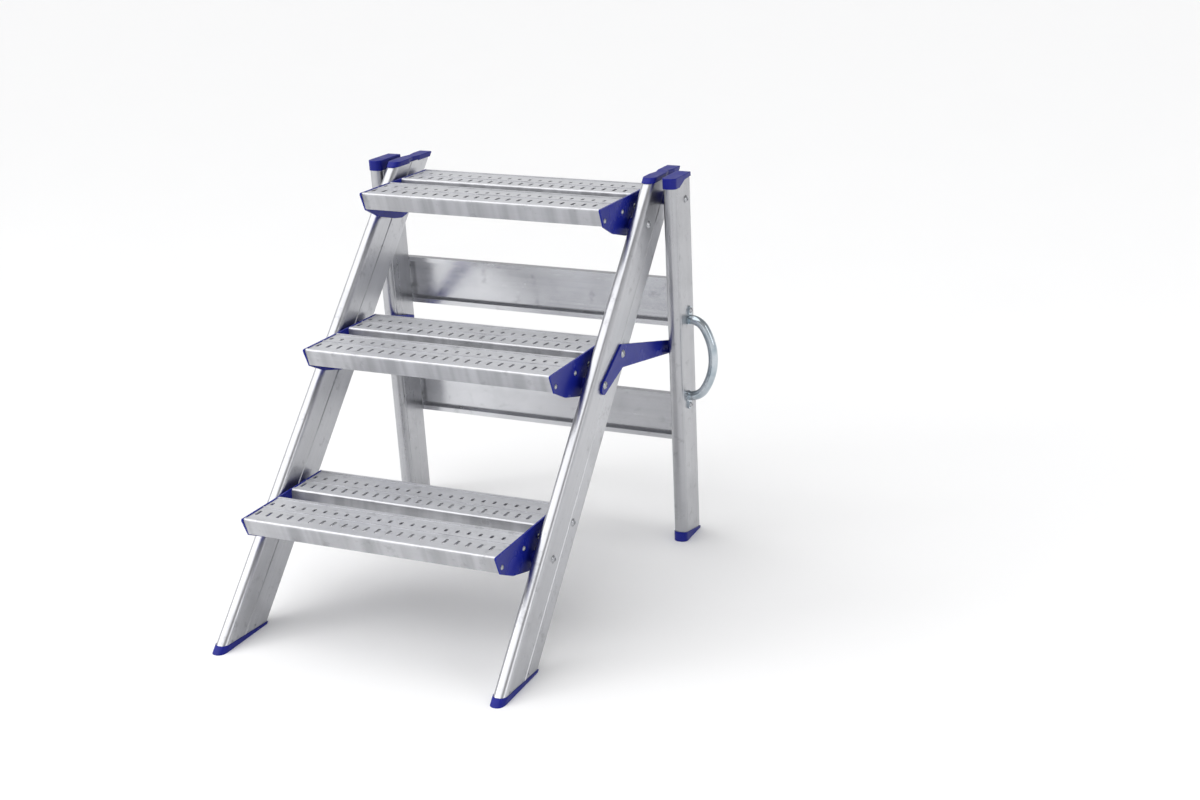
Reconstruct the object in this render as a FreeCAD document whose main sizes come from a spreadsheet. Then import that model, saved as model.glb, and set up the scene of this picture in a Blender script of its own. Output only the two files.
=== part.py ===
import FreeCAD, Part
import math
import os
import Sketcher

# Folding three-tread step ladder.  Millimetres, +Z up, -Y is the climbing side.
# The front frame carries the treads; the rear frame swings about the two bolts
# behind the top tread.  Side-view sizes are taken from the top front edge of the
# bottom tread (y = 0) and from the floor (z = 0), then shifted to the part's origin.

Vector = FreeCAD.Vector
Rotation = FreeCAD.Rotation
OVERRUN = 5.0                # how far a cutting sketch passes the material

DIMENSIONS = [
    # part origin, measured from the ladder's own middle plane and bottom tread edge
    ("origin_side", 27.03), ("origin_back", 348.46),
    # steps
    ("rise", 240), ("first_height", 228), ("tread_width", 484), ("tread_depth", 259),
    ("front_plank_depth", 114), ("plank_gap", 40.5), ("plank_height", 33), ("nose_set_back", 14),
    ("skin", 2), ("ridge_height", 1.2), ("ridge_width", 3), ("rib_width", 6), ("front_rib_width", 9),
    ("plank_lip", 16), ("front_lip", 20), ("web_foot", 0.92),
    ("nose_chamfer", 3.5), ("nose_lip", 1), ("port_width", 8), ("port_height", 13), ("port_bore", 4.2),
    ("port_level", 24), ("front_port", 20), ("rear_port", 9), ("back_port", 10),
    ("slot_pitch", 21.35), ("slot_count", 22), ("slot_first", -232), ("slot_width", 5.5),
    ("long_slot", 19), ("short_slot", 12), ("slot_depth", 5),
    ("front_plank_long_row", 37.5), ("front_plank_ridge", 61.5), ("front_plank_short_row", 82),
    ("rear_plank_long_row", 28), ("rear_plank_ridge", 47.5), ("rear_plank_short_row", 69.5),
    # front frame
    ("front_lean", 43.47), ("front_inner", 254), ("front_thick", 24), ("front_depth", 100),
    ("front_foot_edge", -72.5), ("front_top", 728), ("front_groove", 0.61), ("front_inner_groove", 0.47),
    ("wall", 2), ("nose_wall", 7.5), ("nose_round", 11), ("back_round", 2.5), ("groove_depth", 1.6),
    ("groove_width", 3), ("trim", 60),
    # rear frame
    ("rear_lean", 5), ("rear_inner", 294), ("rear_thick", 25), ("rear_depth", 84),
    ("rear_foot_edge", 685.1), ("rear_top", 728), ("rear_groove", 0.17), ("rear_inner_groove", 0.17),
    # plastic ends
    ("sole", 3), ("sole_lip", 1), ("plug_wall", 1.2), ("plug_round", 11.5), ("nose_step", 1),
    ("foot_skirt", 9), ("rear_foot_skirt", 18), ("space_depth", 40),
    ("foot_rivet", 4), ("foot_rivet_height", 0.8), ("foot_rivet_z", 13), ("foot_rivet_front", 16),
    ("foot_rivet_back", 67),
    ("front_cap_top", 736), ("rear_cap_top", 737), ("cap_skirt", 1.5), ("rear_cap_skirt", 11),
    ("cap_notch", 4), ("cap_notch_width", 56), ("plug_edge", 1.5),
    # tread brackets
    ("bracket_plate", 3), ("bracket_toe", 35), ("bracket_front_y", 60), ("bracket_front_z", 56),
    ("bracket_belly_y", 118), ("bracket_belly_z", 71), ("bracket_low_y", 150), ("bracket_low_z", 76),
    ("bracket_heel_y", 172), ("bracket_heel_z", 72), ("bracket_tail_y", 252), ("bracket_tail_z", 38),
    ("bracket_end", 30), ("bracket_round", 12), ("bracket_hole_y", 142), ("bracket_hole_z", 53),
    ("bracket_back_y", 227.5), ("bracket_back_z", 19), ("bolt_size", 10), ("head_size", 15),
    ("head_height", 4), ("bush_size", 20), ("nut_height", 6), ("nut_size", 17),
    ("screw_size", 4), ("screw_head", 9), ("screw_head_height", 3), ("screw_length", 22),
    ("socket_size", 3), ("socket_depth", 1.5),
    # hinge and stay
    ("stay_plate", 4), ("hinge_gap", 0.3), ("pin_fit", 0.05), ("hinge_spacer_size", 25),
    ("stay_toe_y", 19), ("stay_toe_z", 3), ("stay_heel_y", 5), ("stay_heel_z", 19), ("stay_round", 11),
    ("knee_low_y", 1), ("knee_low_z", 25), ("knee_high_y", 5), ("knee_high_z", 19),
    ("stay_end_y", 704), ("stay_end_low", 383), ("stay_end_high", 408),
    ("stop_pin_z", 395), ("stop_pin_size", 10), ("stop_pin_tail", 6), ("stop_gap", 0.3),
    ("stop_pin_play", 1),
    # crossbars
    ("bar_height", 97), ("bar_depth", 13), ("bar_wall", 2), ("bar_lip", 9), ("bar_half", 313),
    ("upper_bar_z", 427), ("lower_bar_z", 188), ("bar_screw", 4), ("bar_screw_hole", 4.4),
    ("bar_screw_reach", 6), ("bar_screw_head", 2.5),
    # carry handle
    ("grip_size", 18), ("grip_reach", 49), ("grip_bend", 34), ("grip_turn", 58), ("grip_low", 300),
    ("grip_high", 453), ("grip_y", 703), ("lug_width", 17), ("lug_plate", 3), ("lug_screw", 18),
    ("lug_collar", 20), ("lug_ear", 10), ("lug_ear_size", 15), ("handle_screw", 5),
    ("handle_screw_head", 11), ("handle_screw_reach", 8),
]

doc = FreeCAD.newDocument("step_ladder")
sheet = doc.addObject("Spreadsheet::Sheet", "dims")
for row, (alias, value) in enumerate(DIMENSIONS, start=1):
    sheet.set(f"A{row}", alias)
    sheet.set(f"B{row}", str(value))
    sheet.setAlias(f"B{row}", alias)
doc.recompute()

NODES = []                   # every sub-part that is written out


def size(text):
    """Value of an expression over the sheet."""
    result = sheet.evalExpression(str(text))
    return float(getattr(result, "Value", result))


def bind(thing, path, text):
    thing.setExpression(path, str(text))


def origin_plane(body, role):
    return next(item for item in body.Origin.OriginFeatures if item.Role == role)


def new_body(name):
    body = doc.addObject("PartDesign::Body", name)
    body.Label = name
    NODES.append(body)
    return body


def new_sketch(body, name, role="YZ_Plane"):
    sketch = body.newObject("Sketcher::SketchObject", name)
    sketch.AttachmentSupport = (origin_plane(body, role), [""])
    sketch.MapMode = "FlatFace"
    return sketch


def outline(sketch, corners):
    """Closed polygon: each corner (u, v) is an expression, tied to the sketch origin."""
    values = [Vector(size(u), size(v), 0) for u, v in corners]
    first = sketch.GeometryCount
    count = len(corners)
    for index in range(count):
        sketch.addGeometry(Part.LineSegment(values[index], values[(index + 1) % count]))
    for index in range(count):
        following = first + (index + 1) % count
        sketch.addConstraint(Sketcher.Constraint("Coincident", first + index, 2, following, 1))
    for index, (u, v) in enumerate(corners):
        for kind, text, value in (("DistanceX", u, values[index].x), ("DistanceY", v, values[index].y)):
            number = sketch.addConstraint(Sketcher.Constraint(kind, -1, 1, first + index, 1, value))
            bind(sketch, f"Constraints[{number}]", text)


def circle(sketch, u, v, diameter):
    centre = Vector(size(u), size(v), 0)
    index = sketch.addGeometry(Part.Circle(centre, Vector(0, 0, 1), size(diameter) / 2))
    for kind, text, value in (("DistanceX", u, centre.x), ("DistanceY", v, centre.y)):
        number = sketch.addConstraint(Sketcher.Constraint(kind, -1, 1, index, 3, value))
        bind(sketch, f"Constraints[{number}]", text)
    number = sketch.addConstraint(Sketcher.Constraint("Diameter", index, size(diameter)))
    bind(sketch, f"Constraints[{number}]", diameter)


def oblong(sketch, u, v, length, width):
    """Slot standing along v, centred at (u, v): two half circles and two sides."""
    centre = Vector(size(u), size(v), 0)
    radius = size(width) / 2
    reach = size(length) / 2 - radius
    top = centre + Vector(0, reach, 0)
    low = centre - Vector(0, reach, 0)
    side = Vector(radius, 0, 0)
    first = sketch.GeometryCount
    sketch.addGeometry(Part.ArcOfCircle(Part.Circle(top, Vector(0, 0, 1), radius), 0, math.pi))
    sketch.addGeometry(Part.LineSegment(top - side, low - side))
    sketch.addGeometry(Part.ArcOfCircle(Part.Circle(low, Vector(0, 0, 1), radius), math.pi, 2 * math.pi))
    sketch.addGeometry(Part.LineSegment(low + side, top + side))
    for index, end, following, start in ((0, 2, 1, 1), (1, 2, 2, 1), (2, 2, 3, 1), (3, 2, 0, 1)):
        sketch.addConstraint(Sketcher.Constraint("Tangent", first + index, end, first + following, start))
    half = f"({length} - {width}) / 2"
    rules = [("DistanceX", first, 3, u), ("DistanceY", first, 3, f"{v} + {half}"),
             ("DistanceX", first + 2, 3, u), ("DistanceY", first + 2, 3, f"{v} - {half}")]
    for kind, index, point, text in rules:
        number = sketch.addConstraint(Sketcher.Constraint(kind, -1, 1, index, point, size(text)))
        bind(sketch, f"Constraints[{number}]", text)
    number = sketch.addConstraint(Sketcher.Constraint("Radius", first, radius))
    bind(sketch, f"Constraints[{number}]", f"{width} / 2")


def pad(body, sketch, length, symmetric=True, backward=False):
    feature = body.newObject("PartDesign::Pad", sketch.Name + "_pad")
    feature.Profile = sketch
    feature.SideType = "Symmetric" if symmetric else "One side"
    feature.Reversed = backward
    bind(feature, "Length", length)
    sketch.Visibility = False
    doc.recompute()
    return feature


def pocket(body, sketch, length=None, symmetric=True, backward=False):
    """Cut, checked by volume because a cut that misses the material shows no error."""
    before = body.Shape.Volume
    feature = body.newObject("PartDesign::Pocket", sketch.Name + "_cut")
    feature.Profile = sketch
    feature.SideType = "Symmetric" if symmetric else "One side"
    feature.Reversed = backward
    if length is None:
        feature.Type = "ThroughAll"
    else:
        feature.Type = "Length"
        bind(feature, "Length", length)
    doc.recompute()
    assert body.Shape.Volume < before - 0.01, f"{sketch.Name} cuts nothing"
    return feature


def fillet(body, radius, wanted):
    """Round the edges of the body's tip that the test accepts."""
    base = body.Tip
    names = [f"Edge{n}" for n, edge in enumerate(base.Shape.Edges, start=1) if wanted(edge)]
    assert names, f"no edge to round on {body.Label}"
    feature = body.newObject("PartDesign::Fillet", f"{body.Name}_round_{len(body.Group)}")
    feature.Base = (base, names)
    bind(feature, "Radius", radius)
    doc.recompute()
    return feature


def place(thing, x="0", y="0", z="0", turn_x=None):
    """Put a sub-part at ladder coordinates, shifted to the part's origin."""
    if turn_x is not None:
        thing.Placement = FreeCAD.Placement(Vector(0, 0, 0), Rotation(Vector(1, 0, 0), size(turn_x)))
        bind(thing, "Placement.Rotation.Angle", turn_x)
    bind(thing, "Placement.Base.x", f"{x} - dims.origin_side")
    bind(thing, "Placement.Base.y", f"{y} - dims.origin_back")
    bind(thing, "Placement.Base.z", z)


def group(name, solids):
    """One node of identical fasteners: separate solids, given at ladder coordinates."""
    node = doc.addObject("Part::Feature", name)
    node.Label = name
    node.Shape = Part.makeCompound(solids)
    node.Placement = FreeCAD.Placement(Vector(-size("dims.origin_side"), -size("dims.origin_back"), 0),
                                       Rotation())
    NODES.append(node)
    return node


SIDES = (("left", -1), ("right", 1))
NOSE_STEPS = 6               # steps in a plastic end's space, where the stile's nose is round
BAR_SCREWS = (0.27, 0.73)    # places of the crossbar screws, as shares of the bar's height
BAR_SCREW_X = "(dims.rear_inner + dims.rear_thick / 2)"
TREADS = (("bottom", 0), ("middle", 1), ("top", 2))


def tread_y(level):
    return f"({level} * dims.rise * tan(dims.front_lean))"


def tread_z(level):
    return f"(dims.first_height + {level} * dims.rise)"


# ---------------------------------------------------------------- stiles and their plastic ends

def section_corners(thick, depth, groove):
    """One face of a stile's box section with its shallow groove, from the nose to the back."""
    half = f"{thick} / 2"
    floor = f"({half} - dims.groove_depth)"
    middle = f"({depth} * {groove})"
    start, stop = f"({middle} - dims.groove_width / 2)", f"({middle} + dims.groove_width / 2)"
    return [(half, "0"), (half, start), (floor, middle), (half, stop), (half, depth)]


def stile(name, side, inner, thick, depth, frame, lean, foot_edge, top):
    """Extruded rail, leaning in the side view, with both ends cut level."""
    body = new_body(name)
    section = new_sketch(body, name + "_section", "XY_Plane")
    outward = section_corners(thick, depth, f"dims.{frame}_groove")
    inward = section_corners(thick, depth, f"dims.{frame}_inner_groove")
    right, left = (outward, inward) if side > 0 else (inward, outward)
    outline(section, right + [(f"-({u})", v) for u, v in reversed(left)])
    length = f"(({top}) / cos({lean}) + {depth} * abs(tan({lean})) + dims.trim)"
    pad(body, section, length, symmetric=False)
    half, deep = size(thick) / 2, size(depth)

    def on_line(edge, y):
        box = edge.BoundBox
        upright = box.ZLength > 100
        return upright and abs(abs(box.Center.x) - half) < 0.01 and abs(box.Center.y - y) < 0.01

    fillet(body, "dims.nose_round", lambda edge: on_line(edge, 0))
    fillet(body, "dims.back_round", lambda edge: on_line(edge, deep))
    hollow = new_sketch(body, name + "_hollow", "XY_Plane")
    reach = f"({thick} / 2 - dims.wall)"
    front, back = "dims.nose_wall", f"({depth} - dims.wall)"
    outline(hollow, [(f"-{reach}", front), (reach, front), (reach, back), (f"-{reach}", back)])
    pocket(body, hollow, symmetric=False, backward=True)
    ends = new_sketch(body, name + "_ends")
    near, far = f"(-{OVERRUN})", f"({depth} + {OVERRUN})"

    def level(y, height):
        return f"(({height}) / cos({lean}) + {y} * tan({lean}))"

    low, high = "(-dims.trim)", f"({length} + dims.trim)"
    outline(ends, [(near, low), (near, level(near, "dims.sole")), (far, level(far, "dims.sole")),
                   (far, low)])
    outline(ends, [(near, level(near, top)), (far, level(far, top)), (far, high), (near, high)])
    pocket(body, ends)
    place(body, f"{side} * ({inner} + {thick} / 2)", foot_edge, "0", f"-({lean})")
    return body


def end_plug(name, side, inner, thick, depth, lean, foot_edge, profile, recess):
    """Moulded end that boxes in a stile: a slanted block with the stile's own space cut out."""
    body = new_body(name)

    def edge(height, back, out, inset="0"):
        run = f"({height}) * tan({lean}) + ({back} * {depth} + {inset}) / cos({lean})"
        return (f"({run} + {out} * dims.plug_wall)", height)

    block = new_sketch(body, name + "_block")
    outline(block, [edge(height, back, {0: -1, 1: 1}.get(back, 0)) for height, back in profile])
    pad(body, block, f"({thick} + 2 * dims.plug_wall)")
    outer = size(thick) / 2 + size("dims.plug_wall")
    middle = body.Shape.BoundBox.Center.y

    def nose_corner(edge):
        ends = [vertex.Point for vertex in edge.Vertexes]
        along = len(ends) == 2 and all(abs(abs(point.x) - outer) < 0.01 for point in ends)
        rises = along and abs(ends[0].z - ends[1].z) > 1
        return rises and max(point.y for point in ends) < middle

    fillet(body, "dims.plug_round", nose_corner)
    lowest, highest = recess
    # The stile's nose is round, so the space narrows in steps towards it.
    for step in range(NOSE_STEPS + 1):
        inset = f"{step} * dims.nose_step"
        below = f"(dims.nose_round - {step + 1} * dims.nose_step)"
        rounded = f"(dims.nose_round - sqrt(dims.nose_round ^ 2 - {below} ^ 2))"
        width = thick if step == NOSE_STEPS else f"({thick} - 2 * {rounded})"
        space = new_sketch(body, f"{name}_space_{step}")
        outline(space, [edge(lowest, 0, 0, inset), edge(lowest, 1, 0), edge(highest, 1, 0),
                        edge(highest, 0, 0, inset)])
        pocket(body, space, width)
    place(body, f"{side} * ({inner} + {thick} / 2)", foot_edge)
    return body


def waist(body, side):
    """Shallow V in both long sides of a cap, the inner one in line with the stile's groove."""
    cut = new_sketch(body, body.Name + "_waist", "XY_Plane")
    half = "(dims.front_thick / 2 + dims.plug_wall)"
    wide = "dims.cap_notch_width / 2"
    for facing, groove in ((-side, "dims.front_inner_groove"), (side, "dims.front_groove")):
        middle = "(dims.front_cap_top * tan(dims.front_lean)"
        middle += f" + {groove} * dims.front_depth / cos(dims.front_lean))"
        tip, mouth = f"{facing} * ({half} - dims.cap_notch)", f"{facing} * ({half} + 1)"
        outline(cut, [(tip, middle), (mouth, f"({middle} + {wide})"), (mouth, f"({middle} - {wide})")])
    pocket(body, cut)


def soften_top(body, height):
    """Round the long edges of a cap's top face."""
    top = size(height)

    def on_top(edge):
        box = edge.BoundBox
        return abs(box.ZMax - top) < 0.01 and box.ZLength < 0.01

    fillet(body, "dims.plug_edge", on_top)


def front_frame_rails():
    rail = ("dims.front_inner", "dims.front_thick", "dims.front_depth")
    top = "dims.front_top"
    for label, side in SIDES:
        stile(f"front_stile_{label}", side, *rail, "front", "dims.front_lean", "dims.front_foot_edge",
              top)
        skirt = f"({top} - dims.cap_skirt)"
        cap = [(skirt, 0), (skirt, 1), ("dims.front_cap_top", 1), ("dims.front_cap_top", 0)]
        body = end_plug(f"front_cap_{label}", side, *rail, "dims.front_lean", "dims.front_foot_edge", cap,
                        (f"({top} - dims.space_depth)", top))
        waist(body, side)
        soften_top(body, "dims.front_cap_top")
        foot = [("0", 0), ("0", 1), ("(dims.sole + dims.sole_lip)", 1),
                ("(dims.sole + dims.foot_skirt)", 0)]
        end_plug(f"front_foot_{label}", side, *rail, "dims.front_lean", "dims.front_foot_edge", foot,
                 ("dims.sole", "dims.sole + dims.space_depth"))


def rear_frame_rails():
    rail = ("dims.rear_inner", "dims.rear_thick", "dims.rear_depth")
    top = "dims.rear_top"
    lean = "(-dims.rear_lean)"
    for label, side in SIDES:
        stile(f"rear_stile_{label}", side, *rail, "rear", lean, "dims.rear_foot_edge", top)
        skirt = f"({top} - dims.rear_cap_skirt)"
        cap = [(skirt, 0), (skirt, 0.3), (f"({top} - dims.sole_lip)", 0.62),
               (f"({top} + dims.sole_lip)", 1), ("dims.rear_cap_top", 1), ("dims.rear_cap_top", 0)]
        body = end_plug(f"rear_cap_{label}", side, *rail, lean, "dims.rear_foot_edge", cap,
                        (f"({top} - dims.space_depth)", top))
        soften_top(body, "dims.rear_cap_top")
        foot = [("0", 0), ("0", 1), ("(dims.sole + dims.sole_lip)", 1),
                ("(dims.sole + dims.rear_foot_skirt)", 0)]
        end_plug(f"rear_foot_{label}", side, *rail, lean, "dims.rear_foot_edge", foot,
                 ("dims.sole", "dims.sole + dims.space_depth"))


# ---------------------------------------------------------------- treads

def is_corner(edge, spots):
    box = edge.BoundBox
    across = box.XLength > 1 and box.YLength < 0.01 and box.ZLength < 0.01
    return across and any(abs(box.Center.y - y) < 0.1 and abs(box.Center.z - z) < 0.1 for y, z in spots)


def plank_corners(depth, set_back, front_port, ridge):
    """Inverted channel with ribs on top, screw ports below and lips turned in at the foot."""
    low = "-dims.plank_height"
    lip = f"({low} + dims.skin)"
    port = f"({lip} + dims.port_height)"
    trough = "-dims.ridge_height"
    under = "(-dims.ridge_height - dims.skin)"
    front_rib = "dims.front_rib_width"
    rear_rib = f"({depth} - dims.rib_width)"
    ridge_back = f"({ridge} + dims.ridge_width)"
    top = [("0", "0"), (front_rib, "0"), (front_rib, trough), (ridge, trough), (ridge, "0"),
           (ridge_back, "0"), (ridge_back, trough), (rear_rib, trough), (rear_rib, "0"),
           (depth, "0")]
    back_port = f"({depth} - dims.back_port)"
    back = [(depth, low), (f"{depth} - dims.plank_lip", low), (f"{depth} - dims.plank_lip", lip),
            (f"{back_port} - dims.port_width / 2", lip), (f"{back_port} - dims.port_width / 2", port),
            (f"{back_port} + dims.port_width / 2", port), (f"{back_port} + dims.port_width / 2", lip),
            (f"{depth} - dims.skin", lip)]
    inside = [(f"{depth} - dims.skin", under), ("dims.skin", under),
              (f"{set_back} * dims.web_foot + dims.skin", lip)]
    front = [(f"{front_port} - dims.port_width / 2", lip), (f"{front_port} - dims.port_width / 2", port),
             (f"{front_port} + dims.port_width / 2", port), (f"{front_port} + dims.port_width / 2", lip),
             (f"{set_back} + dims.front_lip", lip), (f"{set_back} + dims.front_lip", low),
             (set_back, low)]
    return top + back + inside + front


def plank(name, level, start, depth, set_back, front_port, rows):
    body = new_body(name)
    section = new_sketch(body, name + "_section")
    outline(section, plank_corners(depth, set_back, front_port, rows + "_ridge"))
    for centre in (front_port, f"({depth} - dims.back_port)"):
        circle(section, centre, "-dims.port_level", "dims.port_bore")
    pad(body, section, "(dims.tread_width - 2 * dims.bracket_plate)")
    fillet(body, "dims.nose_chamfer", lambda edge: is_corner(edge, ((0, 0),)))
    slots = new_sketch(body, name + "_slots", "XY_Plane")
    oblong(slots, "dims.slot_first", rows + "_long_row", "dims.long_slot", "dims.slot_width")
    oblong(slots, "dims.slot_first", rows + "_short_row", "dims.short_slot", "dims.slot_width")
    cut = pocket(body, slots, "2 * dims.slot_depth", symmetric=True)
    pattern = body.newObject("PartDesign::LinearPattern", name + "_rows")
    pattern.Originals = [cut]
    pattern.Direction = (slots, ["H_Axis"])
    pattern.Mode = "Spacing"
    bind(pattern, "Occurrences", "dims.slot_count")
    bind(pattern, "Offset", "dims.slot_pitch")
    before = body.Shape.Volume
    body.Tip = pattern
    doc.recompute()
    assert body.Shape.Volume < before - 100, f"{name} has one slot only"
    place(body, "0", f"{tread_y(level)} + {start}", tread_z(level))


def treads():
    for label, level in TREADS:
        plank(f"{label}_tread_front_plank", level, "0", "dims.front_plank_depth", "dims.nose_set_back",
              "dims.front_port", "dims.front_plank")
        rear_start = "(dims.front_plank_depth + dims.plank_gap)"
        plank(f"{label}_tread_rear_plank", level, rear_start, f"(dims.tread_depth - {rear_start})", "0",
              "dims.rear_port", "dims.rear_plank")


# ---------------------------------------------------------------- tread brackets

BRACKET_HOLES = (("dims.bracket_hole_y", "-dims.bracket_hole_z"),
                 ("dims.bracket_back_y", "-dims.bracket_back_z"))
PORT_HOLES = ("dims.front_port", "(dims.front_plank_depth - dims.back_port)",
              "(dims.front_plank_depth + dims.plank_gap + dims.rear_port)",
              "(dims.tread_depth - dims.back_port)")


def bracket(name, side, level):
    """Side plate under the tread's end: deep at the stile bolts, tapering to the tread's nose."""
    body = new_body(name)
    plate = new_sketch(body, name + "_plate")
    outline(plate, [("0", "0"), ("-dims.nose_lip", "-dims.nose_chamfer"),
                    ("dims.nose_set_back + dims.nose_lip", "-dims.bracket_toe"),
                    ("dims.bracket_front_y", "-dims.bracket_front_z"),
                    ("dims.bracket_belly_y", "-dims.bracket_belly_z"),
                    ("dims.bracket_low_y", "-dims.bracket_low_z"),
                    ("dims.bracket_heel_y", "-dims.bracket_heel_z"),
                    ("dims.bracket_tail_y", "-dims.bracket_tail_z"),
                    ("dims.tread_depth", "-dims.bracket_end"), ("dims.tread_depth", "0")])
    for across, up in BRACKET_HOLES:
        circle(plate, across, up, "dims.bolt_size")
    for across in PORT_HOLES:
        circle(plate, across, "-dims.port_level", "dims.screw_size")
    pad(body, plate, "dims.bracket_plate")
    lowest = (size("dims.bracket_low_y"), size("-dims.bracket_low_z"))
    fillet(body, "dims.bracket_round", lambda edge: is_corner(edge, (lowest,)))
    place(body, f"{side} * (dims.tread_width / 2 - dims.bracket_plate / 2)", tread_y(level),
          tread_z(level))


def bolt_places():
    """Side view places of the stile bolts, apart from the two that are the hinge."""
    places = []
    for _, level in TREADS:
        for across, up in BRACKET_HOLES:
            places.append((level, size(f"{tread_y(level)} + {across}"), size(f"{tread_z(level)} + {up}")))
    return places[:-1], places[-1]


def rod(x_start, x_end, y, z, diameter):
    low = min(x_start, x_end)
    return Part.makeCylinder(diameter / 2, abs(x_end - x_start), Vector(low, y, z), Vector(1, 0, 0))


def tube(x_start, x_end, y, z, outer, inner):
    return rod(x_start, x_end, y, z, outer).cut(rod(x_start, x_end, y, z, inner))


def domed_head(x, y, z, diameter, height, outward):
    """Mushroom head: the part of a ball beyond the face at x."""
    radius = (diameter ** 2 / 4 + height ** 2) / (2 * height)
    ball = Part.makeSphere(radius, Vector(x + outward * (height - radius), y, z))
    head = ball.common(rod(x, x + outward * height, y, z, diameter + 1))
    floor = x + outward * (height - size("dims.socket_depth"))
    across = size("dims.socket_size") * diameter / size("dims.screw_head")
    return head.cut(hexagon(floor, floor + outward * height, y, z, across))


def hexagon(x_start, x_end, y, z, across):
    corners = []
    for step in range(7):
        angle = math.radians(60 * step + 30)
        corners.append(Vector(min(x_start, x_end), y + across / math.sqrt(3) * math.cos(angle),
                              z + across / math.sqrt(3) * math.sin(angle)))
    face = Part.Face(Part.makePolygon(corners))
    return face.extrude(Vector(abs(x_end - x_start), 0, 0))


def tread_fasteners():
    plate_in = size("dims.tread_width / 2 - dims.bracket_plate")
    plate_out = size("dims.tread_width / 2")
    inner = size("dims.front_inner")
    outer = size("dims.front_inner + dims.front_thick")
    bolt = size("dims.bolt_size")
    ordinary, hinge = bolt_places()
    bolts, nuts, bushes, screws = [], [], [], []
    for _, side in SIDES:
        for level, y, z in ordinary:
            on_stay = size("dims.stay_plate") if level == 1 else 0
            face = side * (outer + on_stay)
            shank = rod(side * (plate_in - size("dims.nut_height")), face, y, z, bolt)
            bolts.append(shank.fuse(domed_head(face, y, z, size("dims.head_size"),
                                               size("dims.head_height"), side)))
            nut = hexagon(side * plate_in, side * (plate_in - size("dims.nut_height")), y, z,
                          size("dims.nut_size"))
            nuts.append(nut.cut(rod(-400, 400, y, z, bolt)))
        for level, y, z in ordinary + [hinge]:
            bushes.append(tube(side * plate_out, side * inner, y, z, size("dims.bush_size"), bolt))
        for _, level in TREADS:
            for across in PORT_HOLES:
                y = size(f"{tread_y(level)} + {across}")
                z = size(f"{tread_z(level)} - dims.port_level")
                shank = rod(side * (plate_out - size("dims.screw_length")), side * plate_out, y, z,
                            size("dims.screw_size"))
                screws.append(shank.fuse(domed_head(side * plate_out, y, z, size("dims.screw_head"),
                                                    size("dims.screw_head_height"), side)))
    group("tread_bolts", bolts)
    group("tread_bolt_nuts", nuts)
    group("bracket_bushes", bushes)
    group("plank_screws", screws)


def foot_rivets():
    """Two small rivet heads on each face of a front stile, which hold its foot."""
    lean = math.radians(size("dims.front_lean"))
    height, edge = size("dims.foot_rivet_z"), size("dims.front_foot_edge")
    heads = []
    for _, side in SIDES:
        for along in ("dims.foot_rivet_front", "dims.foot_rivet_back"):
            y = edge + height * math.tan(lean) + size(along) / math.cos(lean)
            for face, outward in ((size("dims.front_inner"), -side),
                                  (size("dims.front_inner + dims.front_thick"), side)):
                x = side * face
                heads.append(rod(x, x + outward * size("dims.foot_rivet_height"), y, height,
                                 size("dims.foot_rivet")))
    group("foot_rivets", heads)


def brackets():
    for label, level in TREADS:
        for hand, side in SIDES:
            bracket(f"{label}_tread_bracket_{hand}", side, level)


def drill_front_stiles():
    """Bolt holes through both walls of each front stile."""
    ordinary, hinge = bolt_places()
    for label, side in SIDES:
        body = doc.getObject(f"front_stile_{label}")
        holes = new_sketch(body, f"front_stile_{label}_holes")
        lean = "dims.front_lean"
        for _, level in TREADS:
            for across, up in BRACKET_HOLES:
                y = f"({tread_y(level)} + {across} - dims.front_foot_edge)"
                z = f"({tread_z(level)} + {up})"
                circle(holes, f"({y} * cos({lean}) - {z} * sin({lean}))",
                       f"({y} * sin({lean}) + {z} * cos({lean}))", "dims.bolt_size")
        pocket(body, holes)


# ---------------------------------------------------------------- hinge, stays and stop pins

HINGE_Y = "(2 * dims.rise * tan(dims.front_lean) + dims.bracket_back_y)"
HINGE_Z = "(dims.first_height + 2 * dims.rise - dims.bracket_back_z)"
STOP_PIN_Y = "(dims.stay_end_y - dims.stay_plate - dims.stop_gap - dims.stop_pin_size / 2)"


def drill_rear_stiles():
    """Hinge hole with running clearance, and the stop pin's hole in the inner wall."""
    lean = "dims.rear_lean"
    for label, side in SIDES:
        body = doc.getObject(f"rear_stile_{label}")

        def local(y, z):
            across = f"({y} - dims.rear_foot_edge)"
            return (f"({across} * cos({lean}) + {z} * sin({lean}))",
                    f"(-{across} * sin({lean}) + {z} * cos({lean}))")

        hinge = new_sketch(body, f"rear_stile_{label}_hinge")
        circle(hinge, *local(HINGE_Y, HINGE_Z), "dims.bolt_size + 2 * dims.pin_fit")
        pocket(body, hinge)
        pin = new_sketch(body, f"rear_stile_{label}_pin")
        circle(pin, *local(STOP_PIN_Y, "dims.stop_pin_z"), "dims.stop_pin_tail")
        pocket(body, pin, "dims.rear_thick", symmetric=False, backward=side < 0)
        rear_wall = new_sketch(body, f"rear_stile_{label}_bar_holes", "XZ_Plane")
        bind(rear_wall, "AttachmentOffset.Base.z", "-dims.rear_depth")
        for height in ("dims.upper_bar_z", "dims.lower_bar_z"):
            for share in BAR_SCREWS:
                start = f"({height} / cos({lean}) - dims.rear_depth * tan({lean}))"
                circle(rear_wall, "0", f"({start} + {share} * dims.bar_height)", "dims.bar_screw_hole")
        pocket(body, rear_wall, "3 * dims.wall")


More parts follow.
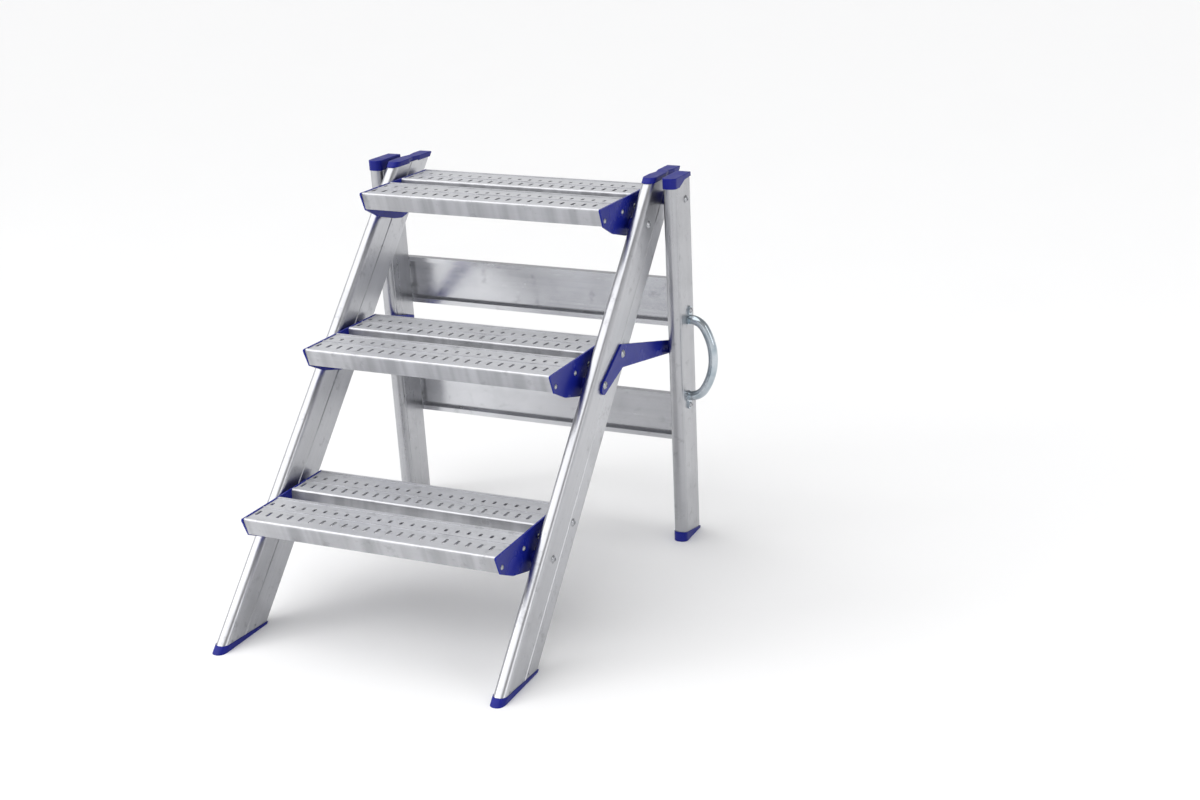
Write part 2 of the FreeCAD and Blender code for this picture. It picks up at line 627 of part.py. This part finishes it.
def hinge_hardware():
    y, z = size(HINGE_Y), size(HINGE_Z)
    bolt = size("dims.bolt_size")
    plate_in = size("dims.tread_width / 2 - dims.bracket_plate")
    outer = size("dims.front_inner + dims.front_thick")
    rear = size("dims.rear_inner")
    face = size("dims.rear_inner + dims.rear_thick + dims.hinge_gap")
    for label, side in SIDES:
        shank = rod(side * (plate_in - size("dims.nut_height")), side * face, y, z, bolt)
        head = domed_head(side * face, y, z, size("dims.head_size"), size("dims.head_height"), side)
        group(f"hinge_bolt_{label}", [shank.fuse(head)])
        nut = hexagon(side * plate_in, side * (plate_in - size("dims.nut_height")), y, z,
                      size("dims.nut_size"))
        group(f"hinge_nut_{label}", [nut.cut(rod(-400, 400, y, z, bolt))])
        group(f"hinge_spacer_{label}", [tube(side * outer, side * (rear - size("dims.hinge_gap")), y, z,
                                             size("dims.hinge_spacer_size"), bolt)])


def stay(name, side):
    """Cranked flat bar on the middle tread's bolts; its end turns out behind the stop pin."""
    body = new_body(name)
    bar = new_sketch(body, name + "_bar")
    front_y = "(dims.rise * tan(dims.front_lean) + dims.bracket_hole_y)"
    front_z = "(dims.first_height + dims.rise - dims.bracket_hole_z)"
    knee_y = "(dims.rise * tan(dims.front_lean) + dims.bracket_back_y)"
    knee_z = "(dims.first_height + dims.rise - dims.bracket_back_z)"
    end = "dims.stay_end_y"
    toe = (f"({front_y} - dims.stay_toe_y)", f"({front_z} - dims.stay_toe_z)")
    heel = (f"({front_y} - dims.stay_heel_y)", f"({front_z} - dims.stay_heel_z)")
    outline(bar, [toe, heel, (f"{knee_y} - dims.knee_low_y", f"{knee_z} - dims.knee_low_z"),
                  (end, "dims.stay_end_low"), (end, "dims.stay_end_high"),
                  (f"{knee_y} - dims.knee_high_y", f"{knee_z} + dims.knee_high_z")])
    for y, z in ((front_y, front_z), (knee_y, knee_z)):
        circle(bar, y, z, "dims.bolt_size")
    pad(body, bar, "dims.stay_plate", symmetric=False, backward=side < 0)
    corners = [(size(y), size(z)) for y, z in (toe, heel)]
    fillet(body, "dims.stay_round", lambda edge: is_corner(edge, corners))
    hook = f"({end} - dims.stay_plate)"
    hook_sketch = new_sketch(body, name + "_hook")
    outline(hook_sketch, [(hook, "dims.stay_end_low"), (end, "dims.stay_end_low"),
                          (end, "dims.stay_end_high"), (hook, "dims.stay_end_high")])
    reach = "(dims.rear_inner - dims.front_inner - dims.front_thick - dims.hinge_gap)"
    pad(body, hook_sketch, reach, symmetric=False, backward=side < 0)
    place(body, f"{side} * (dims.front_inner + dims.front_thick)", "0", "0")


def stays():
    for label, side in SIDES:
        stay(f"stay_arm_{label}", side)


def stop_pins():
    """Shouldered pin in each rear stile, held by the stay's hook when the ladder is open."""
    y, z = size(STOP_PIN_Y), size("dims.stop_pin_z")
    inner = size("dims.rear_inner")
    reach = size("dims.rear_inner - dims.front_inner - dims.front_thick - dims.stay_plate"
                 " - dims.stop_pin_play")
    for label, side in SIDES:
        tail = rod(side * inner, side * (inner + size("dims.wall")), y, z,
                   size("dims.stop_pin_tail"))
        post = rod(side * (inner - reach), side * inner, y, z, size("dims.stop_pin_size"))
        group(f"stop_pin_{label}", [post.fuse(tail)])


# ---------------------------------------------------------------- crossbars and carry handle

def bar_edge(height):
    """Back face of the rear stiles at a height."""
    return (f"(dims.rear_foot_edge + dims.rear_depth / cos(dims.rear_lean)"
            f" - {height} * tan(dims.rear_lean))")


def crossbar(name, height):
    """Lipped channel across the backs of the rear stiles, open to the front."""
    body = new_body(name)
    section = new_sketch(body, name + "_section")
    tall, deep, wall, lip = "dims.bar_height", "dims.bar_depth", "dims.bar_wall", "dims.bar_lip"
    outline(section, [("0", "0"), (deep, "0"), (deep, tall), ("0", tall), ("0", f"{tall} - {lip}"),
                      (wall, f"{tall} - {lip}"), (wall, f"{tall} - {wall}"),
                      (f"{deep} - {wall}", f"{tall} - {wall}"), (f"{deep} - {wall}", wall),
                      (wall, wall), (wall, lip), ("0", lip)])
    pad(body, section, "2 * dims.bar_half")
    holes = new_sketch(body, name + "_holes", "XZ_Plane")
    for sign in ("-", ""):
        for share in BAR_SCREWS:
            circle(holes, sign + BAR_SCREW_X, f"{share} * {tall}", "dims.bar_screw_hole")
    pocket(body, holes, "4 * dims.bar_depth")
    place(body, "0", bar_edge(height), height, "dims.rear_lean")


def bar_point(height, along, back):
    """Ladder coordinates of a point on a crossbar's section."""
    lean = math.radians(size("dims.rear_lean"))
    y = size(bar_edge(height)) + back * math.cos(lean) - along * math.sin(lean)
    return y, size(height) + back * math.sin(lean) + along * math.cos(lean)


def crossbars():
    lean = math.radians(size("dims.rear_lean"))
    outward = Vector(0, math.cos(lean), math.sin(lean))
    deep, head = size("dims.bar_depth"), size("dims.screw_head")
    length = deep + size("dims.bar_screw_reach")
    x = size(BAR_SCREW_X)
    screws = []
    for name, height in (("crossbar_upper", "dims.upper_bar_z"), ("crossbar_lower", "dims.lower_bar_z")):
        crossbar(name, height)
        for side in (-1, 1):
            for share in BAR_SCREWS:
                y, z = bar_point(height, share * size("dims.bar_height"), deep)
                base = Vector(side * x, y, z)
                shank = Part.makeCylinder(size("dims.bar_screw") / 2, length, base - outward * length,
                                          outward)
                cap = Part.makeCylinder(head / 2, size("dims.bar_screw_head"), base, outward)
                screws.append(shank.fuse(cap))
    group("crossbar_screws", screws)


def grip_path(face, y):
    """Bow of three arcs: a tight bend at each end and a flatter one between them."""
    low, high = size("dims.grip_low"), size("dims.grip_high")
    bend, turn = size("dims.grip_bend"), math.radians(size("dims.grip_turn"))
    wide = ((high - low) / 2 - bend * (1 - math.cos(turn))) / math.cos(turn)
    leg = size("dims.grip_reach") - bend * math.sin(turn) - wide * (1 - math.sin(turn))
    middle = (high + low) / 2
    half = (high - low) / 2

    def tight(angle, sign):
        return Vector(face + leg + bend * math.sin(angle), y,
                      middle + sign * (half - bend * (1 - math.cos(angle))))

    start, finish = Vector(face, y, high), Vector(face, y, low)
    tip = Vector(face + size("dims.grip_reach"), y, middle)
    return Part.Wire([Part.LineSegment(start, tight(0, 1)).toShape(),
                      Part.Arc(tight(0, 1), tight(turn / 2, 1), tight(turn, 1)).toShape(),
                      Part.Arc(tight(turn, 1), tip, tight(turn, -1)).toShape(),
                      Part.Arc(tight(turn, -1), tight(turn / 2, -1), tight(0, -1)).toShape(),
                      Part.LineSegment(tight(0, -1), finish).toShape()])


def handle():
    """Round bar bow; each end is flattened into a lug with a screw and an ear to the front."""
    face = size("dims.rear_inner + dims.rear_thick")
    y = size("dims.grip_y")
    ring = Part.Wire(Part.makeCircle(size("dims.grip_size") / 2, Vector(face, y, size("dims.grip_high")),
                                     Vector(1, 0, 0)))
    bow = grip_path(face, y).makePipeShell([ring], True, True)
    lugs, screws = [], []
    plate, wide = size("dims.lug_plate"), size("dims.lug_width")
    hole, head = size("dims.handle_screw"), size("dims.handle_screw_head")
    for end, outward in ((size("dims.grip_high"), 1), (size("dims.grip_low"), -1)):
        screw_z = end + outward * size("dims.lug_screw")
        slab = Part.makeBox(plate, wide, size("dims.lug_screw"),
                            Vector(face, y - wide / 2, min(end, screw_z)))
        for spot_y, spot_z, across in ((y, end, size("dims.lug_collar")), (y, screw_z, wide),
                                       (y - size("dims.lug_ear"), end, size("dims.lug_ear_size"))):
            slab = slab.fuse(rod(face, face + plate, spot_y, spot_z, across))
        lugs.append(slab.cut(rod(face, face + plate, y, screw_z, hole)))
        shank = rod(face - size("dims.handle_screw_reach"), face + plate, y, screw_z, hole)
        screws.append(shank.fuse(domed_head(face + plate, y, screw_z, head, size("dims.head_height"), 1)))
    group("carry_handle", [bow.fuse(lugs).removeSplitter()])
    group("handle_screws", screws)


def drill_handle_holes():
    """Screw holes of the handle in the right rear stile's outer wall."""
    lean = "dims.rear_lean"
    body = doc.getObject("rear_stile_right")
    holes = new_sketch(body, "handle_holes")
    for end, outward in (("dims.grip_high", 1), ("dims.grip_low", -1)):
        y = "(dims.grip_y - dims.rear_foot_edge)"
        z = f"({end} + {outward} * dims.lug_screw)"
        circle(holes, f"({y} * cos({lean}) + {z} * sin({lean}))",
               f"(-{y} * sin({lean}) + {z} * cos({lean}))", "dims.handle_screw")
    pocket(body, holes, "dims.rear_thick", symmetric=False, backward=True)


# ---------------------------------------------------------------- checks and export

def check_and_export():
    doc.recompute()
    for item in doc.Objects:
        assert not {"Invalid", "Error"} & set(item.State), f"{item.Name} failed: {item.State}"
    os.makedirs("parts", exist_ok=True)
    whole = FreeCAD.BoundBox()
    for node in NODES:
        shape = node.Shape
        assert not shape.isNull() and shape.isValid(), f"{node.Label} is not a valid shape"
        assert shape.Solids, f"{node.Label} holds no solid"
        whole.add(shape.optimalBoundingBox(False, False))
        shape.exportStep(f"parts/{node.Label}.step")
    print(f"{len(NODES)} nodes, x {whole.XMin:.2f} {whole.XMax:.2f}, y {whole.YMin:.2f} {whole.YMax:.2f},"
          f" z {whole.ZMin:.2f} {whole.ZMax:.2f}")


front_frame_rails()
rear_frame_rails()
treads()
brackets()
drill_front_stiles()
drill_rear_stiles()
drill_handle_holes()
tread_fasteners()
foot_rivets()
hinge_hardware()
stays()
stop_pins()
crossbars()
handle()
check_and_export()
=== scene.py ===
import math

import bpy
from mathutils import Matrix, Vector

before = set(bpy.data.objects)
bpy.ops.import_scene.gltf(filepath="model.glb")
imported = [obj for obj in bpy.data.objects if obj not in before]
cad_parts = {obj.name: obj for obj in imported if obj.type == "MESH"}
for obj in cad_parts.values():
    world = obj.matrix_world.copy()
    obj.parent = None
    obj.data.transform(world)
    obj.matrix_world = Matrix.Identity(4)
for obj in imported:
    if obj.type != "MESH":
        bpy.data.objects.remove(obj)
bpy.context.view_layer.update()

# Degrees from upright; the two frames lean opposite ways.
FRONT_LEAN = 43.47
REAR_LEAN = -5.0

SHARP_ANGLE = 35.0           # faces that meet at more degrees than this keep an edge

# Noise scales, in cycles a metre.
DIE_LINES = (1.6, 260.0)     # along and across an extrusion
DIE_BANDS = (0.64, 31.2)
UPRIGHT_BARS = (48.0, 1.5, 1.5)
CLOUDS = 9.0
STAINS = 26.0
SMUDGES = 34.0
FINE_GRAIN = 900.0
RUBBED = 30.0
COAT_RIPPLE = 320.0
COAT_SHADE = 14.0
SPECKLE = 1200.0
PASSIVATION = 45.0
FLOOR_PATCHES = 3.0

# The parts of a noise's range that are stretched out to give its contrast.
SOFT = (0.3, 0.7)
CRISP = (0.36, 0.64)
BLOTCHES = (0.57, 0.66)      # only the peaks show
PATCHES = (0.5, 0.66)
UPWARD = (0.3, 0.9)          # height of a face's normal, from an upright face to a level one

CLOUD_WEIGHT = 0.5           # in the wear of the metal, where the die lines weigh 1
WEAR_BALANCE = 0.667         # brings their sum back to the range of one noise

# How metal varies: its brightness and roughness are multiplied by the first three, and the last
# is added to its roughness.
WORN_TONES = (0.91, 1.07)
LINE_ROUGHNESS = (0.9, 1.15)
BLOTCH_TONES = (1.0, 0.80)
STAIN_ROUGHNESS = (-0.02, 0.05)

# The ends of the grey scale that the metal's brightness runs on: faintly blue at both.
METAL_BLACK = (0.0, 0.0, 0.008)
METAL_WHITE = (0.985, 0.995, 1.03)

FLOOR_SIZE = 60.0
FLOOR_GREY = 0.93

LADDER_MIDDLE = (0.0, 0.0, 0.4)
OVERHEAD = {"place": (-1.2, -0.9, 3.0), "power": 2.48}
OVERHEAD_SPREAD = 88.0
SOFT_BOXES = {"left": {"place": (-3.2, -2.2, 1.9), "power": 26.0},
              "right": {"place": (3.6, -0.6, 1.8), "power": 14.0}}
SOFT_BOX_WIDTH, SOFT_BOX_HEIGHT = 0.9, 2.2

SKY_SHADES = ((0.0, 0.92), (0.18, 0.8), (0.42, 0.4), (1.0, 0.3))   # (height, brightness)
SKY_BLUE = 1.01              # how much bluer than grey

EYE = (1.3665, -2.6468, 1.3203)
EYE_AZIMUTH, EYE_ELEVATION, EYE_ROLL = 22.8, 17.88, -0.86
LENS, SENSOR = 51.78, 36.0


# ------------------------------------------------------------------ material helpers

class Surface:
    """A Principled material with short calls for building its nodes."""

    def __init__(self, name, colour, **settings):
        self.material = bpy.data.materials.new(name)
        self.material.use_nodes = True
        self.tree = self.material.node_tree
        self.shader = next(n for n in self.tree.nodes if n.type == "BSDF_PRINCIPLED")
        self.shader.inputs["Base Color"].default_value = (*colour, 1.0)
        for key, value in settings.items():
            self.shader.inputs[key.replace("_", " ")].default_value = value

    def drive(self, socket, source):
        self.tree.links.new(source, self.shader.inputs[socket])

    def node(self, kind, inputs=(), **settings):
        made = self.tree.nodes.new(kind)
        for key, value in settings.items():
            setattr(made, key, value)
        for socket, value in dict(inputs).items():
            if isinstance(value, bpy.types.NodeSocket):
                self.tree.links.new(value, made.inputs[socket])
            else:
                made.inputs[socket].default_value = value
        return made

    def noise(self, scale, detail, rough=0.5, lean=0.0):
        """Noise on the object, with Z turned to run along a leaning stile."""
        source = self.node("ShaderNodeTexCoord").outputs["Object"]
        turn = (math.radians(lean), 0, 0)
        turned = self.node("ShaderNodeMapping", {"Vector": source, "Rotation": turn})
        scaled = self.node("ShaderNodeMapping", {"Vector": turned.outputs[0], "Scale": scale})
        made = self.node("ShaderNodeTexNoise", {"Vector": scaled.outputs[0], "Scale": 1.0,
                                                "Detail": detail, "Roughness": rough})
        return made.outputs["Fac"]

    def cloudy(self, scale, detail, rough=0.5):
        """Noise of one size in every direction."""
        return self.noise((scale, scale, scale), detail, rough)

    def span(self, source, low, high, part=SOFT):
        """Part of source's range stretched from low to high."""
        made = self.node("ShaderNodeMapRange", {"Value": source, "From Min": part[0],
                                                "From Max": part[1], "To Min": low, "To Max": high})
        return made.outputs["Result"]

    def add(self, first, second):
        return self.node("ShaderNodeMath", {0: first, 1: second}, operation="ADD").outputs[0]

    def multiply(self, first, second):
        return self.node("ShaderNodeMath", {0: first, 1: second}, operation="MULTIPLY").outputs[0]

    def mean(self, first, second):
        return self.multiply(self.add(first, second), 0.5)

    def tint(self, factor, dark, light):
        """Base colour between two shades, by factor."""
        made = self.node("ShaderNodeMix", {"Factor": factor}, data_type="RGBA")
        ends = [socket for socket in made.inputs if socket.type == "RGBA"]
        for end, shade in zip(ends, (dark, light)):
            end.default_value = (*shade, 1.0)
        self.drive("Base Color", next(s for s in made.outputs if s.type == "RGBA"))

    def mottle(self, noise, dark, light):
        """Base colour that noise moves between two shades."""
        self.tint(self.span(noise, 0.0, 1.0), dark, light)

    def bump(self, height, distance):
        made = self.node("ShaderNodeBump", {"Height": height, "Distance": distance, "Strength": 1.0})
        self.drive("Normal", made.outputs[0])


# ------------------------------------------------------------------ metals

def painted_facing_shade(made, side_shade, barred):
    """Painted shade by the way a face points: full brightness on level tops, and darker upright
    faces where less light falls, with upright bars that vary that painted shade by barred."""
    direction = made.node("ShaderNodeNewGeometry").outputs["Normal"]
    upward = made.node("ShaderNodeSeparateXYZ", {0: direction}).outputs["Z"]
    bars = made.noise(UPRIGHT_BARS, detail=2.0)
    upright = made.span(bars, side_shade * (1.0 - barred), side_shade * (1.0 + barred), CRISP)
    return made.span(upward, upright, 1.0, UPWARD)


def handled(made, clouds, smudged):
    """Brightness lost where hands and shoes left marks; smudged is what the clouds leave of it."""
    marks = made.cloudy(SMUDGES, detail=7.0, rough=0.72)
    blotches = made.span(marks, *BLOTCH_TONES, BLOTCHES)
    return made.multiply(blotches, made.span(clouds, 1.0, smudged, PATCHES))


def extruded_aluminium(name, grain, tone, gloss, metallic, lean=0.0, side_shade=1.0, relief=0.00012,
                       smudged=0.93, barred=0.0):
    """Extrusion with die lines along its grain axis and soft cloudy patches. tone is its brightness
    and gloss its roughness; the side shade and barred set the painted shade on upright faces, and
    smudged sets the hand marks."""
    made = Surface(name, (tone, tone, tone), Metallic=metallic, Roughness=gloss)
    line_scale, band_scale = ([along if axis == grain else across for axis in "XYZ"]
                              for along, across in (DIE_LINES, DIE_BANDS))
    lines = made.noise(line_scale, detail=3.0, rough=0.6, lean=lean)
    bands = made.noise(band_scale, detail=2.0, lean=lean)
    clouds = made.cloudy(CLOUDS, detail=6.0, rough=0.62)
    grained = made.mean(lines, bands)
    worn = made.multiply(made.add(grained, made.multiply(clouds, CLOUD_WEIGHT)), WEAR_BALANCE)
    tones = made.span(worn, *(tone * ratio for ratio in WORN_TONES), CRISP)
    # Painted shade from the way each face points, multiplied by the hand marks on the metal.
    shade = made.multiply(painted_facing_shade(made, side_shade, barred), handled(made, clouds, smudged))
    made.tint(made.multiply(tones, shade), METAL_BLACK, METAL_WHITE)
    stains = made.cloudy(STAINS, detail=4.0, rough=0.7)
    made.drive("Roughness", made.add(made.span(lines, *(gloss * ratio for ratio in LINE_ROUGHNESS)),
                                     made.span(stains, *STAIN_ROUGHNESS)))
    made.bump(grained, relief)
    return made.material


def front_stile_metal():
    return extruded_aluminium("front_stile_metal", "Z", tone=0.56, gloss=0.31, metallic=1.0,
                              lean=FRONT_LEAN, relief=0.00004, smudged=0.86)


def rear_stile_metal():
    return extruded_aluminium("rear_stile_metal", "Z", tone=0.47, gloss=0.29, metallic=1.0,
                              lean=REAR_LEAN, relief=0.00004, smudged=0.86)


def crossbar_metal():
    return extruded_aluminium("crossbar_metal", "X", tone=0.68, gloss=0.21, metallic=0.8,
                              relief=0.00002, smudged=0.86)


def tread_metal():
    # The upright faces of the planks are darkened here as painted shade.
    return extruded_aluminium("tread_metal", "X", tone=0.74, gloss=0.38, metallic=0.6,
                              side_shade=0.62, barred=0.14)


def plated_steel():
    """Screws, bolts and pins: bright zinc with fine speckle."""
    made = Surface("plated_steel", (0.42, 0.43, 0.45), Metallic=1.0, Roughness=0.25)
    speckle = made.cloudy(SPECKLE, detail=3.0)
    made.mottle(speckle, dark=(0.30, 0.31, 0.33), light=(0.50, 0.51, 0.53))
    made.drive("Roughness", made.span(speckle, low=0.18, high=0.36))
    made.bump(speckle, distance=0.00004)
    return made.material


def zinc_handle():
    """Carry handle: bluish bright zinc with passivation clouds."""
    made = Surface("zinc_handle", (0.60, 0.66, 0.72), Metallic=1.0, Roughness=0.2)
    clouds = made.cloudy(PASSIVATION, detail=5.0)
    made.mottle(clouds, dark=(0.36, 0.43, 0.48), light=(0.58, 0.62, 0.66))
    made.drive("Roughness", made.span(clouds, low=0.08, high=0.22))
    made.bump(made.cloudy(FINE_GRAIN, detail=2.0), distance=0.00003)
    return made.material


# ------------------------------------------------------------------ blues

def blue_plastic():
    """Moulded caps and feet: faint orange peel and duller rubbed patches."""
    made = Surface("blue_plastic", (0.007, 0.012, 0.20), Metallic=0.0, Roughness=0.42, IOR=1.4,
                   Specular_IOR_Level=0.3)
    rubbed = made.cloudy(RUBBED, detail=5.0)
    made.mottle(rubbed, dark=(0.006, 0.010, 0.18), light=(0.010, 0.015, 0.23))
    made.drive("Roughness", made.span(rubbed, low=0.34, high=0.50))
    made.bump(made.cloudy(FINE_GRAIN, detail=2.0), distance=0.0001)
    return made.material


def blue_enamel():
    """Powder coat on the brackets and stays: smooth, glossy, gently rippled."""
    made = Surface("blue_enamel", (0.007, 0.014, 0.24), Metallic=0.0, Roughness=0.26, IOR=1.32,
                   Specular_IOR_Level=0.35)
    shade = made.cloudy(COAT_SHADE, detail=3.0)
    made.mottle(shade, dark=(0.006, 0.012, 0.21), light=(0.010, 0.018, 0.27))
    made.drive("Roughness", made.span(shade, low=0.22, high=0.30))
    made.bump(made.cloudy(COAT_RIPPLE, detail=2.0), distance=0.00003)
    return made.material


# ------------------------------------------------------------------ the ladder

def dress(material, *words):
    """One material all over each CAD node whose name holds any of the words."""
    for name, node in sorted(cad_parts.items()):
        if any(word in name for word in words):
            node.data.materials.clear()
            node.data.materials.append(material)


def finishes():
    dress(front_stile_metal(), "front_stile")
    dress(rear_stile_metal(), "rear_stile")
    dress(crossbar_metal(), "crossbar_upper", "crossbar_lower")
    dress(tread_metal(), "front_plank", "rear_plank")
    dress(plated_steel(), "bolt", "screws", "nut", "stop_pin", "rivets")
    dress(zinc_handle(), "carry_handle")
    dress(blue_plastic(), "_cap_", "_foot_", "spacer", "bushes")
    dress(blue_enamel(), "bracket_left", "bracket_right", "stay_arm")


def smooth():
    """Round surfaces shaded smooth, with the real edges kept."""
    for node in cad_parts.values():
        node.data.shade_smooth()
        node.data.set_sharp_from_angle(angle=math.radians(SHARP_ANGLE))


# ------------------------------------------------------------------ studio

def floor():
    """Plain pale floor out past every view."""
    bpy.ops.mesh.primitive_plane_add(size=FLOOR_SIZE, location=(0, 0, 0))
    plane = bpy.context.object
    plane.name = "floor"
    made = Surface("floor", (FLOOR_GREY, FLOOR_GREY, FLOOR_GREY), Metallic=0.0, Roughness=0.55,
                   Specular_IOR_Level=0.2)
    made.drive("Roughness", made.span(made.cloudy(FLOOR_PATCHES, detail=3.0), low=0.5, high=0.6))
    plane.data.materials.append(made.material)


def lamp(name, kind, place, power):
    """A light that faces the middle of the ladder."""
    data = bpy.data.lights.new(name, kind)
    data.energy = power
    made = bpy.data.objects.new(name, data)
    made.location = place
    aim = Vector(LADDER_MIDDLE) - Vector(place)
    made.rotation_euler = aim.to_track_quat("-Z", "Y").to_euler()
    bpy.context.scene.collection.objects.link(made)
    return data


def lights():
    """A broad overhead source from the upper left, and a tall soft box on each side."""
    overhead = lamp("overhead", "SUN", **OVERHEAD)
    overhead.angle = math.radians(OVERHEAD_SPREAD)
    for name, setting in SOFT_BOXES.items():
        box = lamp(name, "AREA", **setting)
        box.shape = "RECTANGLE"
        box.size = SOFT_BOX_WIDTH
        box.size_y = SOFT_BOX_HEIGHT


def sky():
    """Bright low down and dimmer overhead, so that the metal has something to reflect."""
    world = bpy.data.worlds.new("studio")
    bpy.context.scene.world = world
    world.use_nodes = True
    tree = world.node_tree
    background = next(node for node in tree.nodes if node.type == "BACKGROUND")
    source = tree.nodes.new("ShaderNodeTexCoord")
    split = tree.nodes.new("ShaderNodeSeparateXYZ")
    ramp = tree.nodes.new("ShaderNodeValToRGB")
    tree.links.new(source.outputs["Generated"], split.inputs[0])
    tree.links.new(split.outputs["Z"], ramp.inputs[0])
    tree.links.new(ramp.outputs[0], background.inputs["Color"])
    stops = ramp.color_ramp.elements
    while len(stops) < len(SKY_SHADES):
        stops.new(0.5)       # the loop below moves it to its place
    for stop, (height, shade) in zip(stops, SKY_SHADES):
        stop.position = height
        stop.color = (shade, shade, shade * SKY_BLUE, 1.0)


def camera():
    """From the right front, a little above the ladder's top."""
    data = bpy.data.cameras.new("camera")
    data.lens = LENS
    data.sensor_width = SENSOR
    eye = bpy.data.objects.new("camera", data)
    a, e, turn = map(math.radians, (EYE_AZIMUTH, EYE_ELEVATION, EYE_ROLL))
    back = Vector((math.sin(a) * math.cos(e), -math.cos(a) * math.cos(e), math.sin(e)))
    right = Vector((math.cos(a), math.sin(a), 0.0))
    up = back.cross(right)
    across = right * math.cos(turn) + up * math.sin(turn)
    upward = up * math.cos(turn) - right * math.sin(turn)
    eye.matrix_world = (Matrix.Translation(EYE)
                        @ Matrix((across, upward, back)).transposed().to_4x4())
    bpy.context.scene.collection.objects.link(eye)
    bpy.context.scene.camera = eye


def main():
    finishes()
    smooth()
    floor()
    lights()
    sky()
    camera()
    bpy.context.scene.view_settings.view_transform = "Standard"


main()
